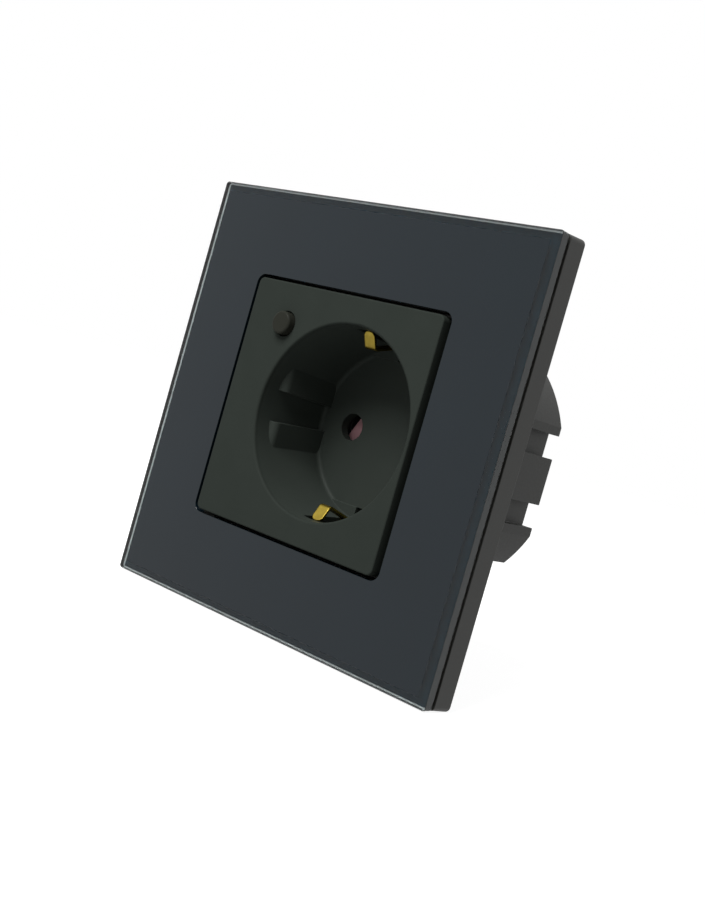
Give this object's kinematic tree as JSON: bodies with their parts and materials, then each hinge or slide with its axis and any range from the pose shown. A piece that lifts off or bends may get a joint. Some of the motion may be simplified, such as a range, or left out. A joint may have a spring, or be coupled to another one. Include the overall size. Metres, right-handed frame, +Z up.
{
  "type": "wall socket",
  "caption": "Square flush wall socket: glass panel, round earthed plug recess with shuttered pin holes, small push button, rear module on a steel mounting strap.",
  "frame": {"origin": "middle of the wall plane, where the carrier's rear rim meets the wall", "axes": "+X right and +Z up as installed, the front faces -Y, +Y goes into the wall"},
  "size_m": [0.0864, 0.0467, 0.0864],
  "materials": {
    "back_painted_glass": "polished, painted dark grey behind",
    "carrier_plastic": "satin moulded",
    "cover_plastic": "fine satin moulded",
    "housing_plastic": "satin moulded",
    "base_plastic": "moulded",
    "black_plastic": "moulded",
    "shutter_plastic": "moulded",
    "spring_steel": "rolled strip",
    "plated_steel": "zinc plated",
    "contact_brass": "stamped",
    "terminal_brass": "machined",
    "board_laminate": "solder mask",
    "relay_plastic": "moulded",
    "ferrite": "sintered",
    "capacitor_sleeve": "shrunk sleeve",
    "varistor_lacquer": "dipped lacquer",
    "shield_can": "tinned"
  },
  "bodies": {
    "socket": {"glass_panel": "back_painted_glass", "panel_carrier": "carrier_plastic", "socket_cover": "cover_plastic", "tact_switch": "black_plastic", "shutter_spring": "spring_steel", "contact_base": "base_plastic", "live_contact": "contact_brass", "neutral_contact": "contact_brass", "earth_bracket": "contact_brass", "live_terminal": "terminal_brass", "earth_terminal": "terminal_brass", "neutral_terminal": "terminal_brass", "terminal_screws": "plated_steel", "live_link": "contact_brass", "mounting_strap": "plated_steel", "rear_housing": "housing_plastic", "housing_screws": "plated_steel", "control_board": "board_laminate", "relay": "relay_plastic", "transformer": "ferrite", "capacitor": "capacitor_sleeve", "varistor": "varistor_lacquer", "radio_module": "shield_can"},
    "button": {"push_button": "cover_plastic", "tact_plunger": "black_plastic"},
    "shutter": {"shutter": "shutter_plastic"}
  },
  "joints": [
    {"name": "button_press", "type": "slide", "parent": "socket", "child": "button", "axis": [0, 1, 0], "range_m": [0, 0.0006], "stiffness_N_per_m": 200, "springref_m": -0.001},
    {"name": "shutter_turn", "type": "hinge", "parent": "socket", "child": "shutter", "pos_m": [0.0042, 0.014, 0], "axis": [0, -1, 0], "range_deg": [0, 42], "stiffness_Nm_per_rad": 0.01, "springref_deg": -22.92, "deforming": ["shutter_spring"]}
  ]
}
